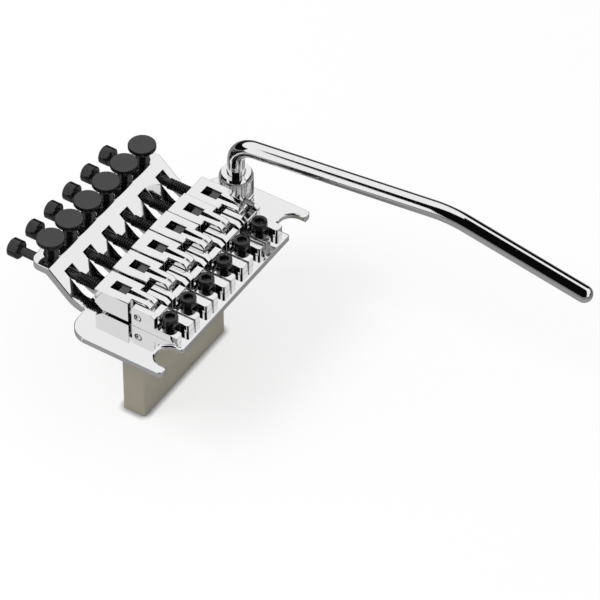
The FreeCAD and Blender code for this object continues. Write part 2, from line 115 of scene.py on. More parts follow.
# Lock screws
LOCK_POINT_RADIUS = 1.7
LOCK_POINT_FLAT = 0.6
LOCK_POINT_CHAMFER = 0.25
LOCK_THREAD_RADIUS = 2.0
LOCK_SHANK_RADIUS = 1.6
LOCK_THREAD_START = 24.2
LOCK_THREAD_END = 38.0
LOCK_THREAD_LEAD = 0.4
LOCK_THREAD_PITCH = 0.9
LOCK_HEAD_LENGTH = 4.0
LOCK_HEAD_CHAMFER = 0.4
LOCK_HEAD_FILLET = 0.3
LOCK_SOCKET_FLATS = 3.0
LOCK_SOCKET_DEPTH = 2.2

# Hold-down screws
HOLD_SEAT = 3.35
HOLD_SHANK_RADIUS = 1.5
HOLD_POINT_FLAT = 0.7
HOLD_POINT_CHAMFER = 0.3
HOLD_NECK = 0.6                # plain shank below the head
HOLD_THREAD_PITCH = 0.5
HOLD_THREAD_SHARE = 0.7        # depth of this finer thread, as a share of THREAD_DEPTH
HOLD_HEAD_RADIUS = 2.75
HOLD_HEAD_FOOT = 0.2
HOLD_HEAD_CHAMFER = 0.3
HOLD_EDGE_SHARE = 0.3          # place of the rolled edge's middle row, as a share of its chamfer
HOLD_SOCKET_FLATS = 3.0
HOLD_SOCKET_DEPTH = 1.6

# Fine tuners
TUNER_RIM = 1.6
TUNER_RIM_LEAD = 0.1
TUNER_CONE = 1.5
TUNER_CONE_INSET = 0.7
TUNER_CONE_LIP = 0.25
TUNER_NECK_RADIUS = 2.6
TUNER_STEM_RADIUS = 2.45
TUNER_TIP_RADIUS = 1.5
TUNER_TIP_FLAT = 0.75
TUNER_TIP_LENGTH = 0.6
TUNER_EDGE = 0.22
TUNER_EDGE_RIB_DEPTH = 0.1
TUNER_FACE_SHARE = 0.5         # radius of the face's inner row, as a share of the knob's
TUNER_FACE_BAND = 1e-3         # faces this close to the top belong to the face
TUNER_RIBS = 44
TUNER_RIB_DEPTH = 0.3
TUNER_THREAD_PITCH = 0.9

# Saddle pins
PIN_COLUMNS = 40
PIN_FACE_RADIUS = 0.95
PIN_CHAMFER = 0.4
PIN_DIMPLE_RADIUS = 0.45
PIN_DIMPLE_FLOOR = 0.25
PIN_DIMPLE_DEPTH = 0.12

# Edges and shading of the pieces that copy a CAD node
EDGE_ROUND = 0.12
PLATE_ROUND = 0.28
BLOCK_ROUND = 0.25
NUT_ROUND = 0.2
BODY_ROUND = 0.09
ROUND_SEGMENTS = 2
SMOOTH_ANGLE = math.radians(32)
SHARP_ANGLE = math.radians(35)
FLAT_ANGLE = math.radians(0.4)  # triangles that bend less than this become one face
FLAT_WEIGHT = 100
LONG_EDGE = 6.0                # an edge counts as long from this many bevel widths on
RUN_ON = 0.9                   # cosine of the bend still taken for one chain
MERGE_DISTANCE = 0.002

# Finishes
NOISE_LOW = 0.3                # noise mostly lies between these two
NOISE_HIGH = 0.7
ROUGH_DETAIL = 3.0
RIPPLE_DETAIL = 2.0
TONE_DETAIL = 4.0
RELIEF_HEIGHT = 0.1

# Reflection cards that surround the object from a point on the arm. The black one behind the camera is
# (right, up) in tangents off the camera's line, and leaves the sky straight above the plate free. The
# black band along the horizon is (azimuth, top elevation) in degrees.
CARD_CENTRE = (45.0, -40.0, 25.0)
CARD_DISTANCE = 5500.0
CAMERA_CARD = ((-1.2, -1.35), (0.65, -1.35), (0.65, 0.9), (0.5, 1.5), (0.35, 1.4), (0.14, 0.86),
               (-0.745, 0.86), (-0.79, 0.6), (-0.85, 0.28), (-0.91, 0.0), (-1.0, -0.3), (-1.2, -0.8))
HORIZON_FOOT = -3.0
HORIZON_CARD = ((5.0, 12.0), (30.0, 12.0), (58.0, 14.0), (72.0, 25.0), (83.0, 45.0), (92.0, 41.0),
                (100.0, 34.0), (110.0, 27.0), (117.0, 25.0), (135.0, 27.0), (150.0, 28.0), (170.0, 28.0),
                (190.0, 28.0), (210.0, 28.0), (225.0, 28.0), (238.0, 28.0))

# Reflection cards on the floor. The near one is (azimuth, reach) round the plate, the far one goes by
# azimuth alone, and both leave a gap on the left. A small light one at (x, y) lies where the outermost
# saddle's side looks past the wing. Lifts are heights above the floor.
NEAR_CARD = ((-100.0, 140.0), (-60.0, 160.0), (0.0, 220.0), (40.0, 200.0), (80.0, 150.0), (120.0, 140.0),
             (160.0, 140.0), (200.0, 150.0), (230.0, 150.0))
NEAR_CARD_LIFT = 0.4
FAR_CARD = (-98.0, -60.0, -20.0, 20.0, 60.0, 100.0, 140.0, 180.0, 220.0, 238.0)
FAR_CARD_REACH = 5500.0
FAR_CARD_LIFT = 0.2
SIDE_CARD = ((-75.5, 51.5), (-70.0, 51.5), (-70.0, 56.0), (-75.5, 56.0))
SIDE_CARD_LIFT = 0.6

# Shades of the cards
BLACK_SHADE = 0.004
NEAR_SHADE = 0.35
FAR_SHADE = 0.22
SIDE_SHADE = 0.82

# Floor
FLOOR_REACH = 6000.0
FLOOR_PLAIN_SHARE = 0.7        # share of the floor's white that no lamp shades; a painted contact shadow still darkens it
PAINTED_SHADOW_REACH = 2.5            # how far the painted contact shadow of a touching piece spreads over the floor
PAINTED_SHADOW_DEPTH = 3.0            # power by which that painted shadow deepens

# Light
SEEN_LIGHT = 1.0               # strength of the world in the camera and in reflections
DIFFUSE_LIGHT = 0.7            # strength of the world as light on dull surfaces
KEY_PLACE = (-620.0, 620.0, 1150.0)
KEY_WIDTH = 700.0
KEY_POWER = 9.0
LIGHT_BOUNCES = 24
MIRROR_BOUNCES = 16


# Mesh building

def axis_vectors(axis):
    """Two side vectors and the axis itself, right-handed, for an axis named X, Y or Z."""
    order = {"X": (1, 2, 0), "Y": (2, 0, 1), "Z": (0, 1, 2)}[axis]
    return np.eye(3)[list(order)]


def round_angles(columns):
    """Evenly spaced angles round a ring, one for each column."""
    return np.arange(columns) * 2 * np.pi / columns


def ring_rows(profile, columns):
    """Rows of (radius, height) as arrays: each radius is one number or a function of the angle."""
    angle = round_angles(columns)
    radius = np.array([r(angle) if callable(r) else np.full(columns, float(r)) for r, height in profile])
    height = np.array([np.full(columns, float(height)) for r, height in profile])
    return radius, height


def stacked_rows(*parts):
    """Radius and height arrays of several stretches, one after the other."""
    return [np.concatenate(rows) for rows in zip(*parts)]


def turned_points(radius, height, origin, axis):
    """Points origin + r cos(angle) side + r sin(angle) other + height axis, for each row and column."""
    side, other, along = axis_vectors(axis)
    angle = round_angles(radius.shape[1])
    flat = radius[..., None] * (np.cos(angle)[None, :, None] * side + np.sin(angle)[None, :, None] * other)
    return np.asarray(origin, float) + flat + height[..., None] * along


def lofted_mesh(name, points):
    """A closed mesh from rows of rings: quads between rows, and a fan to each end row's centre."""
    rows, columns = points.shape[:2]
    index = np.arange(rows * columns).reshape(rows, columns)
    right = np.roll(index, -1, axis=1)
    quads = np.stack([index[:-1], right[:-1], right[1:], index[1:]], axis=-1).reshape(-1, 4)
    first, last = rows * columns, rows * columns + 1
    start = np.stack([right[0], index[0], np.full(columns, first)], axis=-1)
    end = np.stack([index[-1], right[-1], np.full(columns, last)], axis=-1)
    centres = np.array([points[0].mean(axis=0), points[-1].mean(axis=0)])
    vertices = np.concatenate([points.reshape(-1, 3), centres]) * MM
    mesh = bpy.data.meshes.new(name)
    mesh.from_pydata(vertices.tolist(), [], quads.tolist() + start.tolist() + end.tolist())
    return mesh


def ring_mesh(name, points):
    """A closed ring: rows of rings whose last row is its first, so no end is capped."""
    rows, columns = points.shape[0] - 1, points.shape[1]
    index = np.arange(rows * columns).reshape(rows, columns)
    right = np.roll(index, -1, axis=1)
    quads = np.stack([index, right, np.roll(right, -1, axis=0), np.roll(index, -1, axis=0)], axis=-1)
    mesh = bpy.data.meshes.new(name)
    mesh.from_pydata((points[:-1].reshape(-1, 3) * MM).tolist(), [], quads.reshape(-1, 4).tolist())
    return mesh


def joined_meshes(name, meshes):
    """One mesh from several."""
    work = bmesh.new()
    for mesh in meshes:
        work.from_mesh(mesh)
    whole = bpy.data.meshes.new(name)
    work.to_mesh(whole)
    work.free()
    return whole


def smooth_object(name, mesh, material):
    """An object at the origin, smooth except across edges sharper than SMOOTH_ANGLE."""
    mesh.polygons.foreach_set("use_smooth", np.ones(len(mesh.polygons), bool))
    mesh.set_sharp_from_angle(angle=SMOOTH_ANGLE)
    mesh.materials.append(material)
    mesh.update()
    piece = bpy.data.objects.new(name, mesh)
    bpy.context.scene.collection.objects.link(piece)
    return piece


def seat(piece, body, slot, *nodes):
    """Put a piece on its body, in place of its CAD nodes."""
    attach(piece, body)
    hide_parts(*nodes)
    return piece


def box_of(node):
    """Lowest and highest corner of a CAD node, in millimetres."""
    low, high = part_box(node)
    return np.array(low) / MM, np.array(high) / MM


def floor_height():
    """Height of the floor, which is the foot of the sustain block."""
    return box_of("sustain_block")[0][2]


def hexagon_radius(flats):
    """Radius of a hexagon by angle: half its flats over the cosine of the angle off the nearest flat."""
    def radius(angle):
        off = np.mod(angle + np.pi / 6, np.pi / 3) - np.pi / 6
        return flats / 2 / np.cos(off)
    return radius


def socket_rows(top, flats, depth):
    """Profile rows of a hexagon socket: a small lead-in bevel, straight walls and a coned floor."""
    wall = hexagon_radius(flats)
    floor = top - depth
    return [(hexagon_radius(flats + 2 * SOCKET_BEVEL), top), (wall, top - SOCKET_BEVEL), (wall, floor),
            (hexagon_radius(flats * SOCKET_FLOOR_SHARE), floor - SOCKET_FLOOR_DROP)]


def thread_rows(low, high, pitch, outer, depth, columns):
    """A screw thread: the radius falls by depth in a groove whose phase is height / pitch - turn."""
    count = max(int((high - low) / pitch * THREAD_STEPS), 2)
    height = np.repeat(np.linspace(low, high, count)[:, None], columns, axis=1)
    turn = np.arange(columns) / columns
    wave = np.abs(2 * np.mod(height / pitch - turn, 1.0) - 1)
    groove = np.clip(THREAD_SLOPE * wave - THREAD_CREST, 0, 1)
    fade = np.clip((height - low) / pitch, 0, 1) * np.clip((high - height) / pitch, 0, 1)
    return outer - depth * groove * fade, height


def ribbed(outer, depth, ribs):
    """Radius of a straight knurl by angle: outer on each rib, less up to depth in a V groove beside it."""
    def radius(angle):
        off = np.abs(np.mod(ribs * angle / (2 * np.pi) + 0.5, 1.0) - 0.5)
        return outer - depth * np.clip((off - RIB_HALF) / (0.5 - RIB_HALF), 0, 1)
    return radius


# Materials

def new_group(name, inputs, outputs):
    """An empty shader group with float inputs (name, default) and outputs (name, type)."""
    group = bpy.data.node_groups.new(name, "ShaderNodeTree")
    for socket, default in inputs:
        made = group.interface.new_socket(name=socket, in_out="INPUT", socket_type="NodeSocketFloat")
        made.default_value = default
    for socket, kind in outputs:
        group.interface.new_socket(name=socket, in_out="OUTPUT", socket_type=kind)
    return group, group.nodes.new("NodeGroupInput"), group.nodes.new("NodeGroupOutput")


def add_node(tree, kind, **settings):
    node = tree.nodes.new(kind)
    for key, value in settings.items():
        setattr(node, key, value)
    return node


def scaled_noise(tree, scale_socket, detail):
    """Noise on Object coordinates, its scale taken from a socket."""
    place = add_node(tree, "ShaderNodeTexCoord")
    noise = add_node(tree, "ShaderNodeTexNoise")
    noise.inputs["Detail"].default_value = detail
    tree.links.new(place.outputs["Object"], noise.inputs["Vector"])
    tree.links.new(scale_socket, noise.inputs["Scale"])
    return noise


def map_between(tree, value, low, high):
    """A noise value carried from its usual range to the range low to high."""
    node = add_node(tree, "ShaderNodeMapRange")
    node.inputs["From Min"].default_value = NOISE_LOW
    node.inputs["From Max"].default_value = NOISE_HIGH
    tree.links.new(value, node.inputs["Value"])
    for socket, name in ((low, "To Min"), (high, "To Max")):
        tree.links.new(socket, node.inputs[name])
    return node.outputs["Result"]


def surface_variation_group():
    """Roughness that drifts between two values, and a height for the skin's fine ripple."""
    inputs = [("Scale", 60.0), ("Rough Low", 0.05), ("Rough High", 0.1), ("Ripple Scale", 400.0)]
    outputs = [("Roughness", "NodeSocketFloat"), ("Height", "NodeSocketFloat")]
    group, start, end = new_group("surface_variation", inputs, outputs)
    cloud = scaled_noise(group, start.outputs["Scale"], ROUGH_DETAIL)
    rough = map_between(group, cloud.outputs["Fac"], start.outputs["Rough Low"], start.outputs["Rough High"])
    group.links.new(rough, end.inputs["Roughness"])
    ripple = scaled_noise(group, start.outputs["Ripple Scale"], RIPPLE_DETAIL)
    group.links.new(ripple.outputs["Fac"], end.inputs["Height"])
    return group


def tone_group():
    """A drifting cloud, as the mask that mixes two tones of one colour."""
    group, start, end = new_group("tone_drift", [("Scale", 80.0)], [("Mask", "NodeSocketFloat")])
    cloud = scaled_noise(group, start.outputs["Scale"], TONE_DETAIL)
    group.links.new(cloud.outputs["Fac"], end.inputs["Mask"])
    return group


def mixed_colour(tree, mask, first, second):
    """The colour output of a mix of two tones by a mask."""
    node = add_node(tree, "ShaderNodeMix", data_type="RGBA")
    for name, tone in (("A", first), ("B", second)):
        colour = [socket for socket in node.inputs if socket.name == name and socket.type == "RGBA"][0]
        colour.default_value = (*tone, 1)
    tree.links.new(mask, node.inputs["Factor"])
    return [socket for socket in node.outputs if socket.type == "RGBA"][0]


def finish_material(groups, name, tones, metallic, rough, bump, scale, ripple_scale, specular=0.5):
    """A finish with two close tones, drifting roughness and a fine bump."""
    material = bpy.data.materials.new(name)
    material.use_nodes = True
    tree = material.node_tree
    shader = tree.nodes["Principled BSDF"]
    shader.inputs["Metallic"].default_value = metallic
    shader.inputs["Specular IOR Level"].default_value = specular
    tone = add_node(tree, "ShaderNodeGroup", node_tree=groups["tone"])
    tone.inputs["Scale"].default_value = scale
    tree.links.new(mixed_colour(tree, tone.outputs["Mask"], *tones), shader.inputs["Base Color"])
    skin = add_node(tree, "ShaderNodeGroup", node_tree=groups["skin"])
    skin.inputs["Scale"].default_value = scale
    skin.inputs["Rough Low"].default_value = rough[0]
    skin.inputs["Rough High"].default_value = rough[1]
    skin.inputs["Ripple Scale"].default_value = ripple_scale
    tree.links.new(skin.outputs["Roughness"], shader.inputs["Roughness"])
    relief = add_node(tree, "ShaderNodeBump")
    relief.inputs["Strength"].default_value = bump
    relief.inputs["Distance"].default_value = RELIEF_HEIGHT * MM
    tree.links.new(skin.outputs["Height"], relief.inputs["Height"])
    tree.links.new(relief.outputs["Normal"], shader.inputs["Normal"])
    return material


def make_materials():
    groups = {"skin": surface_variation_group(), "tone": tone_group()}
    return {
        "chrome": finish_material(groups, "polished_chrome", ((0.83, 0.83, 0.835), (0.805, 0.805, 0.812)),
                                  metallic=1.0, rough=(0.03, 0.06), bump=0.015, scale=90, ripple_scale=350),
        "oxide": finish_material(groups, "black_oxide", ((0.004, 0.004, 0.0045), (0.008, 0.008, 0.0085)),
                                 metallic=0.0, rough=(0.10, 0.18), bump=0.06, scale=300, ripple_scale=2600,
                                 specular=0.55),
        # Knob tops: a satin black whose rougher finish is real and whose lighter grey is painted sheen of the
        # light from above
        "face": finish_material(groups, "satin_black_face_painted_sheen", ((0.036, 0.036, 0.037), (0.044, 0.044, 0.045)),
                                metallic=0.0, rough=(0.38, 0.46), bump=0.12, scale=200, ripple_scale=3000,
                                specular=0.4),
        "nickel": finish_material(groups, "matte_nickel", ((0.44, 0.40, 0.325), (0.50, 0.46, 0.38)),
                                  metallic=0.5, rough=(0.42, 0.52), bump=0.18, scale=120, ripple_scale=3500),
        "clamp": finish_material(groups, "dark_tool_steel", ((0.09, 0.09, 0.092), (0.12, 0.12, 0.122)),
                                 metallic=0.7, rough=(0.35, 0.5), bump=0.2, scale=400, ripple_scale=2500),
        "nylon": finish_material(groups, "natural_nylon", ((0.78, 0.77, 0.72), (0.83, 0.82, 0.78)),
                                 metallic=0.0, rough=(0.4, 0.55), bump=0.1, scale=300, ripple_scale=2500),
    }


# Pieces

def runs_on(edge, vertex, sharp):
    """Whether another sharp edge carries this one on past a vertex, nearly straight."""
    here = (vertex.co - edge.other_vert(vertex).co).normalized()
    others = [other for other in vertex.link_edges if other is not edge and other in sharp]
    return any(here.dot((other.other_vert(vertex).co - vertex.co).normalized()) > RUN_ON for other in others)


def mark_round_edges(work, width):
    """Give weight to the outer sharp edges that are long, or links of a smooth chain."""
    weight = work.edges.layers.float.new("bevel_weight_edge")
    sharp = {edge for edge in work.edges
             if len(edge.link_faces) == 2 and edge.is_convex and edge.calc_face_angle() > SHARP_ANGLE}
    for edge in sharp:
        chained = all(runs_on(edge, vertex, sharp) for vertex in edge.verts)
        edge[weight] = float(chained or edge.calc_length() > LONG_EDGE * width * MM)


def round_edges(piece, width):
    """Round a piece's marked edges by a small bevel, and keep its flat faces flat in their shading."""
    bevel = piece.modifiers.new("edge_round", "BEVEL")
    bevel.width = width * MM
    bevel.segments = ROUND_SEGMENTS
    bevel.limit_method = "WEIGHT"
    bevel.harden_normals = True
    bevel.use_clamp_overlap = False
    weld = piece.modifiers.new("corner_weld", "WELD")
    weld.merge_threshold = MERGE_DISTANCE * MM
    shading = piece.modifiers.new("flat_faces", "WEIGHTED_NORMAL")
    shading.mode = "FACE_AREA"
    shading.weight = FLAT_WEIGHT
    shading.keep_sharp = True


def rounded_copy(node, body, slot, material, width=EDGE_ROUND):
    """A merged copy of a CAD node with its sharp edges rounded."""
    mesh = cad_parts[node].data.copy()
    mesh.name = f"{node}_finish"
    mesh.materials.clear()
    work = bmesh.new()
    work.from_mesh(mesh)
    bmesh.ops.remove_doubles(work, verts=work.verts, dist=MERGE_DISTANCE * MM)
    bmesh.ops.dissolve_limit(work, angle_limit=FLAT_ANGLE, verts=work.verts, edges=work.edges)
    mark_round_edges(work, width)
    work.to_mesh(mesh)
    work.free()
    piece = smooth_object(f"{node}_finish", mesh, material)
    round_edges(piece, width)
    return seat(piece, body, slot, node)


def arm_centre_line(low):
    """Reach, height and slope along the arm: leg, bend, run, knee and drop, arcs tangent to the runs.

    Each stretch turns evenly from one slope to the next, so a step along it is its chord: the arc's
    step times the sine of half the step's turn over that half, in the direction of the middle slope.
    """
    rise, drop = math.radians(ARM_RISE), math.radians(-ARM_DROP)
    upright = math.pi / 2
    bend_cut = ARM_BEND_RADIUS * math.tan((upright - rise) / 2)
    knee_cut = ARM_KNEE_RADIUS * math.tan((rise - drop) / 2)
    run = ARM_KNEE_REACH / math.cos(rise)
    end_reach = ARM_REACH - ARM_RADIUS * math.cos(drop)
    fall = (end_reach - ARM_KNEE_REACH) / math.cos(drop)
    stretches = [(ARM_HEIGHT - bend_cut - low, upright, upright, STRAIGHT_ROWS),
                 (ARM_BEND_RADIUS * (upright - rise), upright, rise, BEND_ROWS),
                 (run - bend_cut - knee_cut, rise, rise, STRAIGHT_ROWS),
                 (ARM_KNEE_RADIUS * (rise - drop), rise, drop, KNEE_ROWS),
                 (fall - knee_cut, drop, drop, STRAIGHT_ROWS)]
    slope = np.concatenate([np.linspace(a, b, n, endpoint=False) for length, a, b, n in stretches] + [[drop]])
    middle = np.concatenate([a + (b - a) * (np.arange(n) + 0.5) / n for length, a, b, n in stretches])
    step = np.concatenate([np.full(n, length / n) for length, a, b, n in stretches])
    bow = np.concatenate([np.full(n, np.sinc((b - a) / n / 2 / np.pi)) for length, a, b, n in stretches])
    reach = np.concatenate([[0.0], np.cumsum(step * bow * np.cos(middle))])
    height = np.concatenate([[low], low + np.cumsum(step * bow * np.sin(middle))])
    return reach, height, slope


def tremolo_arm(material):
    """A rod carried along the arm's line, with a chamfered foot, a hidden ring and a round tip."""
    low, high = box_of("arm_socket")
    axis = (low + high) / 2
    foot = box_of("tremolo_arm")[0][2]
    reach, height, slope = arm_centre_line(foot)
    leg = np.array([(foot, ARM_RADIUS - ARM_FOOT_CHAMFER), (foot + ARM_FOOT_CHAMFER, ARM_RADIUS),
                    (ARM_RING_LOW, ARM_RADIUS), (ARM_RING_LOW, ARM_RING_RADIUS),
                    (ARM_RING_HIGH, ARM_RING_RADIUS), (ARM_RING_HIGH, ARM_RADIUS)])
    keep = (reach > ON_AXIS) | (height > ARM_RING_HIGH + RING_CLEARANCE)
    turn = np.linspace(0, np.pi / 2, TIP_ROWS)[1:-1]
    tip_reach = reach[-1] + ARM_RADIUS * np.sin(turn) * math.cos(slope[-1])
    tip_height = height[-1] + ARM_RADIUS * np.sin(turn) * math.sin(slope[-1])
    radius = np.concatenate([leg[:, 1], np.full(keep.sum(), ARM_RADIUS), ARM_RADIUS * np.cos(turn)])
    reach = np.concatenate([np.zeros(len(leg)), reach[keep], tip_reach])
    height = np.concatenate([leg[:, 0], height[keep], tip_height])
    slope = np.concatenate([np.full(len(leg), math.pi / 2), slope[keep], np.full(len(turn), slope[-1])])
    ahead = direction(ARM_SWING, 0)
    upward = np.array([0, 0, 1.0])
    across = np.cross(upward, ahead)
    angle = round_angles(ARM_COLUMNS)
    normal = -np.sin(slope)[:, None] * ahead + np.cos(slope)[:, None] * upward
    centre = np.array([axis[0], axis[1], 0]) + reach[:, None] * ahead + height[:, None] * upward
    spoke = np.cos(angle)[None, :, None] * across + np.sin(angle)[None, :, None] * normal[:, None, :]
    points = centre[:, None, :] + radius[:, None, None] * spoke
    piece = smooth_object("tremolo_arm_rod", lofted_mesh("tremolo_arm_rod", points), material)
    return seat(piece, "arm", "chrome", "tremolo_arm")


def arm_collar(material):
    """A ring turned from foot to top and back down its bore, with straight ribs on its side."""
    low, high = box_of("arm_collar")
    centre = (low + high) / 2
    outer = (high[0] - low[0]) / 2
    top, foot = high[2], low[2]
    ceiling = top - COLLAR_CEILING_DROP
    band, band_radius = foot + COLLAR_FOOT_BAND, outer - COLLAR_BAND_INSET
    rim, rim_radius = top - COLLAR_RIM_DROP, outer - COLLAR_RIM_INSET
    groove, groove_radius = rim - COLLAR_RIM_GROOVE, outer - KNURL_DEPTH
    bevel_radius = outer - COLLAR_BEVEL
    ribs = ribbed(outer, KNURL_DEPTH, COLLAR_RIBS)
    profile = [
        (COLLAR_CAVITY, foot), (band_radius - COLLAR_BAND_EDGE, foot),
        (band_radius, foot + COLLAR_BAND_EDGE), (band_radius, band - COLLAR_BAND_EDGE),
        (groove_radius, band), (ribs, band + COLLAR_RIB_LEAD),
        (ribs, groove - COLLAR_RIB_LEAD), (groove_radius, groove),
        (rim_radius, rim), (rim_radius, rim + COLLAR_RIM_LAND),
        (bevel_radius, top - COLLAR_CORNER_DROP), (bevel_radius - COLLAR_CORNER_INSET, top),
        (COLLAR_HOLE + COLLAR_HOLE_BEVEL, top), (COLLAR_HOLE, top - COLLAR_HOLE_BEVEL),
        (COLLAR_HOLE, ceiling), (COLLAR_CAVITY, ceiling), (COLLAR_CAVITY, foot),
    ]
    radius, height = ring_rows(profile, COLLAR_RIBS * RIB_COLUMNS)
    points = turned_points(radius, height, (centre[0], centre[1], 0), "Z")
    piece = smooth_object("arm_collar_ring", ring_mesh("arm_collar_ring", points), material)
    return seat(piece, "collar", "chrome", "arm_collar")


def lock_screw(number, material):
    """Point, helical thread, plain shank and a head with a hexagon socket, along Y."""
    low, high = box_of(f"lock_screw_{number}")
    centre = (low + high) / 2
    point, rear = low[1], high[1]
    head_radius = (high[0] - low[0]) / 2
    head_front = rear - LOCK_HEAD_LENGTH
    thread_start = LOCK_THREAD_START + LOCK_THREAD_LEAD
    thread_end = LOCK_THREAD_END - LOCK_THREAD_LEAD
    front_rows = [(LOCK_POINT_FLAT, point), (LOCK_POINT_RADIUS - LOCK_POINT_CHAMFER, point),
                  (LOCK_POINT_RADIUS, point + LOCK_POINT_CHAMFER), (LOCK_POINT_RADIUS, LOCK_THREAD_START),
                  (LOCK_THREAD_RADIUS, thread_start)]
    head_rows = [(LOCK_THREAD_RADIUS, thread_end), (LOCK_SHANK_RADIUS, LOCK_THREAD_END),
                 (LOCK_SHANK_RADIUS, head_front - LOCK_HEAD_FILLET),
                 (LOCK_SHANK_RADIUS + LOCK_HEAD_FILLET, head_front),
                 (head_radius - LOCK_HEAD_FILLET, head_front), (head_radius, head_front + LOCK_HEAD_FILLET),
                 (head_radius, rear - LOCK_HEAD_CHAMFER), (head_radius - LOCK_HEAD_CHAMFER, rear)]
    head_rows += socket_rows(rear, LOCK_SOCKET_FLATS, LOCK_SOCKET_DEPTH)
    thread = thread_rows(thread_start + THREAD_GAP, thread_end - THREAD_GAP, LOCK_THREAD_PITCH,
                         LOCK_THREAD_RADIUS, THREAD_DEPTH, SCREW_COLUMNS)
    radius, height = stacked_rows(ring_rows(front_rows, SCREW_COLUMNS), thread,
                                  ring_rows(head_rows, SCREW_COLUMNS))
    name = f"lock_screw_thread_{number}"
    points = turned_points(radius, height, (centre[0], 0, centre[2]), "Y")
    piece = smooth_object(name, lofted_mesh(name, points), material)
    return seat(piece, f"lock_{number}", "black_steel", f"lock_screw_{number}")


def fine_tuner(number, side, face):
    """Threaded stem, neck, ribbed cone and rim, and a flat satin face whose lighter grey is painted sheen."""
    low, high = box_of(f"fine_tuner_{number}")
    centre = (low + high) / 2
    outer = (high[0] - low[0]) / 2
    tip, top = low[2], high[2]
    rim = top - TUNER_RIM
    neck = rim - TUNER_CONE
    stem_low, stem_high = tip + TUNER_TIP_LENGTH, neck - TUNER_TIP_LENGTH
    columns = TUNER_RIBS * RIB_COLUMNS
    ribs = ribbed(outer, TUNER_RIB_DEPTH, TUNER_RIBS)
    cone_ribs = ribbed(outer - TUNER_CONE_INSET, TUNER_RIB_DEPTH, TUNER_RIBS)
    edge_ribs = ribbed(outer - TUNER_EDGE, TUNER_EDGE_RIB_DEPTH, TUNER_RIBS)
    tip_rows = [(TUNER_TIP_FLAT, tip), (TUNER_TIP_RADIUS, tip), (TUNER_STEM_RADIUS, stem_low)]
    knob_rows = [(TUNER_STEM_RADIUS, stem_high), (TUNER_NECK_RADIUS, neck), (cone_ribs, rim - TUNER_CONE_LIP),
                 (ribs, rim + TUNER_RIM_LEAD), (ribs, top - TUNER_EDGE), (edge_ribs, top),
                 (outer - 2 * TUNER_EDGE, top), (outer * TUNER_FACE_SHARE, top)]
    thread = thread_rows(stem_low + THREAD_GAP, stem_high - THREAD_GAP, TUNER_THREAD_PITCH,
                         TUNER_STEM_RADIUS, THREAD_DEPTH, columns)
    radius, height = stacked_rows(ring_rows(tip_rows, columns), thread, ring_rows(knob_rows, columns))
    name = f"fine_tuner_knob_{number}"
    points = turned_points(radius, height, (centre[0], centre[1], 0), "Z")
    piece = smooth_object(name, lofted_mesh(name, points), side)
    # The top face gets the lighter material, whose grey is painted sheen
    piece.data.materials.append(face)
    polygons = piece.data.polygons
    middles = np.empty(3 * len(polygons))
    polygons.foreach_get("center", middles)
    on_painted_sheen_face = middles[2::3] / MM > top - TUNER_FACE_BAND
    polygons.foreach_set("material_index", on_painted_sheen_face.astype(np.int32))
    return seat(piece, f"tuner_{number}", "black_steel", f"fine_tuner_{number}")


def hold_down_screws(material):
    """Six cap screws: threaded shank, head with rolled edges and a hexagon socket."""
    low, high = box_of("hold_down_screws")
    point, top = low[2], high[2]
    edge_drop = HOLD_HEAD_CHAMFER * HOLD_EDGE_SHARE
    point_rows = [(HOLD_POINT_FLAT, point), (HOLD_SHANK_RADIUS - HOLD_POINT_CHAMFER, point),
                  (HOLD_SHANK_RADIUS, point + HOLD_POINT_CHAMFER)]
    head_rows = [(HOLD_SHANK_RADIUS, HOLD_SEAT), (HOLD_HEAD_RADIUS - HOLD_HEAD_FOOT, HOLD_SEAT),
                 (HOLD_HEAD_RADIUS, HOLD_SEAT + HOLD_HEAD_FOOT), (HOLD_HEAD_RADIUS, top - HOLD_HEAD_CHAMFER),
                 (HOLD_HEAD_RADIUS - edge_drop, top - edge_drop), (HOLD_HEAD_RADIUS - HOLD_HEAD_CHAMFER, top)]
    head_rows += socket_rows(top, HOLD_SOCKET_FLATS, HOLD_SOCKET_DEPTH)
    thread = thread_rows(point + HOLD_POINT_CHAMFER + THREAD_GAP, HOLD_SEAT - HOLD_NECK, HOLD_THREAD_PITCH,
                         HOLD_SHANK_RADIUS, THREAD_DEPTH * HOLD_THREAD_SHARE, SCREW_COLUMNS)
    radius, height = stacked_rows(ring_rows(point_rows, SCREW_COLUMNS), thread,
                                  ring_rows(head_rows, SCREW_COLUMNS))
    meshes = []
    for number in NUMBERS:
        pin_low, pin_high = box_of(f"saddle_pin_{number}")
        origin = ((pin_low[0] + pin_high[0]) / 2, (low[1] + high[1]) / 2, 0)
        meshes.append(lofted_mesh(f"hold_down_{number}", turned_points(radius, height, origin, "Z")))
    piece = smooth_object("hold_down_cap_screws", joined_meshes("hold_down_cap_screws", meshes), material)
    return seat(piece, "bridge", "black_steel", "hold_down_screws")


def saddle_pin(number, material):
    """A plain pin along X with broad chamfers and a small turned dimple in each end."""
    low, high = box_of(f"saddle_pin_{number}")
    centre = (low + high) / 2
    end_rows = [(PIN_DIMPLE_FLOOR, PIN_DIMPLE_DEPTH), (PIN_DIMPLE_RADIUS, 0.0), (PIN_FACE_RADIUS, 0.0),
                ((high[2] - low[2]) / 2, PIN_CHAMFER)]
    profile = [(r, low[0] + inset) for r, inset in end_rows]
    profile += [(r, high[0] - inset) for r, inset in reversed(end_rows)]
    radius, height = ring_rows(profile, PIN_COLUMNS)
    name = f"saddle_pin_turned_{number}"
    points = turned_points(radius, height, (0, centre[1], centre[2]), "X")
    piece = smooth_object(name, lofted_mesh(name, points), material)
    return seat(piece, f"saddle_{number}_foot", "chrome", f"saddle_pin_{number}")


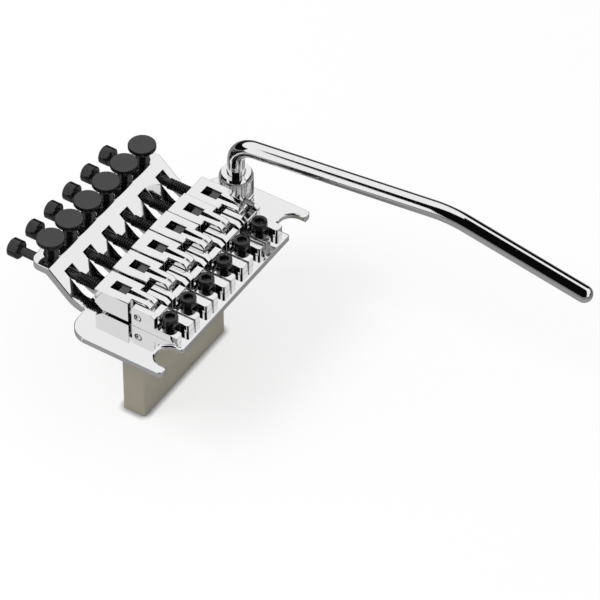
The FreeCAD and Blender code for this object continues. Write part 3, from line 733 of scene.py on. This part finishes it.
def build_object(materials):
    chrome, oxide = materials["chrome"], materials["oxide"]
    rounded_copy("base_plate", "bridge", "chrome", chrome, PLATE_ROUND)
    rounded_copy("sustain_block", "bridge", "nickel_block", materials["nickel"], BLOCK_ROUND)
    rounded_copy("block_screws", "bridge", "black_steel", oxide)
    rounded_copy("arm_socket", "bridge", "chrome", chrome)
    rounded_copy("socket_nut", "bridge", "chrome", chrome, NUT_ROUND)
    rounded_copy("arm_washer_lower", "bridge", "nylon", materials["nylon"])
    rounded_copy("arm_washer_upper", "collar", "nylon", materials["nylon"])
    hold_down_screws(oxide)
    arm_collar(chrome)
    tremolo_arm(chrome)
    for number in NUMBERS:
        rounded_copy(f"saddle_base_{number}", f"saddle_{number}_foot", "chrome", chrome)
        rounded_copy(f"saddle_body_{number}", f"saddle_{number}_head", "chrome", chrome, BODY_ROUND)
        rounded_copy(f"clamp_block_{number}", f"clamp_{number}", "clamp_steel", materials["clamp"])
        saddle_pin(number, chrome)
        lock_screw(number, oxide)
        fine_tuner(number, oxide, materials["face"])


# Stage

def direction(azimuth, elevation):
    """Unit vector by azimuth, from the front towards +X, and elevation, in degrees."""
    turn, lift = math.radians(azimuth), math.radians(elevation)
    return np.array([math.sin(turn) * math.cos(lift), -math.cos(turn) * math.cos(lift), math.sin(lift)])


def level_axes():
    """Right, up and back vectors of the fitted view, without its roll."""
    azimuth = math.radians(CAMERA_AZIMUTH)
    back = direction(CAMERA_AZIMUTH, CAMERA_ELEVATION)
    right = np.array([math.cos(azimuth), math.sin(azimuth), 0.0])
    return right, np.cross(back, right), back


def camera_axes():
    """Right, up and back vectors of the fitted camera."""
    right, up, back = level_axes()
    roll = math.radians(CAMERA_ROLL)
    turned_right = right * math.cos(roll) + up * math.sin(roll)
    turned_up = -right * math.sin(roll) + up * math.cos(roll)
    return turned_right, turned_up, back


def frame_middle():
    """The point that the middle of the picture looks at."""
    right, up = level_axes()[:2]
    return np.array(AIM_POINT) + right * AIM_RIGHT + up * AIM_UP


def place_by_axes(thing, right, up, back, point):
    """Point a camera or lamp: its local X, Y and Z become right, up and back."""
    matrix = np.eye(4)
    matrix[:3, 0], matrix[:3, 1], matrix[:3, 2] = right, up, back
    matrix[:3, 3] = np.asarray(point) * MM
    thing.matrix_world = Matrix(matrix.tolist())


def add_camera():
    right, up, back = camera_axes()
    data = bpy.data.cameras.new("photo_camera")
    data.sensor_width = SENSOR_WIDTH
    data.lens = FOCAL_PIXELS / FRAME_PIXELS * SENSOR_WIDTH
    data.clip_start = CLIP_NEAR * MM
    data.clip_end = CLIP_FAR * MM
    camera = bpy.data.objects.new("photo_camera", data)
    bpy.context.scene.collection.objects.link(camera)
    place_by_axes(camera, right, up, back, frame_middle() + back * CAMERA_DISTANCE)
    bpy.context.scene.camera = camera


def add_world():
    """White to the camera and in reflections, and a little dimmer as diffuse light."""
    world = bpy.data.worlds.new("white_studio")
    bpy.context.scene.world = world
    world.use_nodes = True
    tree = world.node_tree
    tree.nodes.clear()
    path = add_node(tree, "ShaderNodeLightPath")
    seen = add_node(tree, "ShaderNodeMath", operation="MAXIMUM")
    shown = add_node(tree, "ShaderNodeMath", operation="MAXIMUM")
    tree.links.new(path.outputs["Is Camera Ray"], seen.inputs[0])
    tree.links.new(path.outputs["Is Glossy Ray"], seen.inputs[1])
    tree.links.new(seen.outputs[0], shown.inputs[0])
    tree.links.new(path.outputs["Is Transmission Ray"], shown.inputs[1])
    mix = add_node(tree, "ShaderNodeMixShader")
    tree.links.new(shown.outputs[0], mix.inputs["Fac"])
    for slot, strength in ((1, DIFFUSE_LIGHT), (2, SEEN_LIGHT)):
        light = add_node(tree, "ShaderNodeBackground")
        light.inputs["Color"].default_value = (1, 1, 1, 1)
        light.inputs["Strength"].default_value = strength
        tree.links.new(light.outputs[0], mix.inputs[slot])
    tree.links.new(mix.outputs[0], add_node(tree, "ShaderNodeOutputWorld").inputs["Surface"])


def floor_material():
    """Mostly a plain white with a painted contact shadow that darkens it under a touching piece, and a share
    of lit white for the cast shadow.
    """
    material = bpy.data.materials.new("white_floor_painted_shadow")
    material.use_nodes = True
    tree = material.node_tree
    tree.nodes.clear()
    lit = add_node(tree, "ShaderNodeBsdfDiffuse")
    lit.inputs["Color"].default_value = (1, 1, 1, 1)
    # Painted contact shadow: ambient occlusion darkens the unlit white next to a touching piece
    painted_contact_shadow = add_node(tree, "ShaderNodeAmbientOcclusion")
    painted_contact_shadow.inputs["Distance"].default_value = PAINTED_SHADOW_REACH * MM
    deepen_painted_shadow = add_node(tree, "ShaderNodeGamma")
    deepen_painted_shadow.inputs["Gamma"].default_value = PAINTED_SHADOW_DEPTH
    tree.links.new(painted_contact_shadow.outputs["Color"], deepen_painted_shadow.inputs["Color"])
    plain = add_node(tree, "ShaderNodeEmission")
    tree.links.new(deepen_painted_shadow.outputs["Color"], plain.inputs["Color"])
    mix = add_node(tree, "ShaderNodeMixShader")
    mix.inputs["Fac"].default_value = FLOOR_PLAIN_SHARE
    tree.links.new(lit.outputs[0], mix.inputs[1])
    tree.links.new(plain.outputs[0], mix.inputs[2])
    tree.links.new(mix.outputs[0], add_node(tree, "ShaderNodeOutputMaterial").inputs["Surface"])
    return material


def flat_sheet(name, corners, material):
    """One flat face of the stage."""
    mesh = bpy.data.meshes.new(name)
    mesh.from_pydata((np.asarray(corners, float) * MM).tolist(), [], [list(range(len(corners)))])
    mesh.materials.append(material)
    sheet = bpy.data.objects.new(name, mesh)
    bpy.context.scene.collection.objects.link(sheet)
    return sheet


def add_floor():
    height = floor_height()
    signs = ((-1, -1), (1, -1), (1, 1), (-1, 1))
    corners = [(x * FLOOR_REACH, y * FLOOR_REACH, height) for x, y in signs]
    flat_sheet("studio_floor", corners, floor_material())


def card_material(name, shade):
    """A dull card of one grey."""
    material = bpy.data.materials.new(name)
    material.use_nodes = True
    shader = material.node_tree.nodes["Principled BSDF"]
    shader.inputs["Base Color"].default_value = (shade, shade, shade, 1)
    shader.inputs["Roughness"].default_value = 1.0
    shader.inputs["Specular IOR Level"].default_value = 0.0
    return material


def add_card(name, corners, material):
    """A card that only reflections see, for the dark and grey streaks in the chrome."""
    card = flat_sheet(name, corners, material)
    card.visible_camera = False
    card.visible_diffuse = False
    card.visible_shadow = False
    card.visible_transmission = False


def floor_points(outline, lift):
    """Points round the plate's middle by azimuth and reach, a little above the floor."""
    middle = np.array([AIM_POINT[0], AIM_POINT[1], floor_height() + lift])
    return [middle + reach * direction(azimuth, 0) for azimuth, reach in outline]


def add_standing_cards():
    """Black cards behind the camera and along the horizon."""
    right, up, back = camera_axes()
    middle = np.array(CARD_CENTRE)
    black = card_material("black_card", BLACK_SHADE)
    behind = [middle + CARD_DISTANCE * (back + across * right + lift * up) for across, lift in CAMERA_CARD]
    add_card("camera_card", behind, black)
    top = [middle + CARD_DISTANCE * direction(*angles) for angles in HORIZON_CARD]
    foot = [middle + CARD_DISTANCE * direction(azimuth, HORIZON_FOOT) for azimuth, elevation in HORIZON_CARD]
    for index in range(len(top) - 1):
        corners = [foot[index], foot[index + 1], top[index + 1], top[index]]
        add_card(f"horizon_card_{index + 1}", corners, black)


def add_floor_cards():
    """Grey cards on the floor round the object, and a small light one."""
    near = floor_points(NEAR_CARD, NEAR_CARD_LIFT)
    add_card("near_card", near, card_material("grey_card", NEAR_SHADE))
    side = [(x, y, floor_height() + SIDE_CARD_LIFT) for x, y in SIDE_CARD]
    add_card("side_card", side, card_material("light_card", SIDE_SHADE))
    outline = [(azimuth, FAR_CARD_REACH) for azimuth in FAR_CARD] + [(0.0, 0.0)]
    far = floor_points(outline, FAR_CARD_LIFT)
    add_card("far_card", far, card_material("dark_grey_card", FAR_SHADE))


def add_key_light():
    """A large soft lamp from the upper left, for the faint shadow to the right."""
    place = np.array(KEY_PLACE)
    aim = frame_middle()
    to_lamp = (place - aim) / np.linalg.norm(place - aim)
    across = np.cross([0, 0, 1.0], to_lamp)
    across = across / np.linalg.norm(across)
    data = bpy.data.lights.new("soft_key", "AREA")
    data.shape = "DISK"
    data.size = KEY_WIDTH * MM
    data.energy = KEY_POWER
    lamp = bpy.data.objects.new("soft_key", data)
    bpy.context.scene.collection.objects.link(lamp)
    lamp.visible_glossy = False
    place_by_axes(lamp, across, np.cross(to_lamp, across), to_lamp, place)


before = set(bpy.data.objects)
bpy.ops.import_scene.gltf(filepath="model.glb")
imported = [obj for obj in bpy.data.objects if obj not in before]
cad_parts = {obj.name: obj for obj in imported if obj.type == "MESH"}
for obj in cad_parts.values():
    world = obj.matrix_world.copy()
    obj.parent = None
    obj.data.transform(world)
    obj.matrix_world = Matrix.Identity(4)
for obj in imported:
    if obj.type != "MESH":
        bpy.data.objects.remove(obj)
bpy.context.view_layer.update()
build_object(make_materials())
add_camera()
add_world()
add_floor()
add_standing_cards()
add_floor_cards()
add_key_light()
bpy.context.scene.view_settings.view_transform = "Standard"
bpy.context.scene.cycles.max_bounces = LIGHT_BOUNCES
bpy.context.scene.cycles.glossy_bounces = MIRROR_BOUNCES
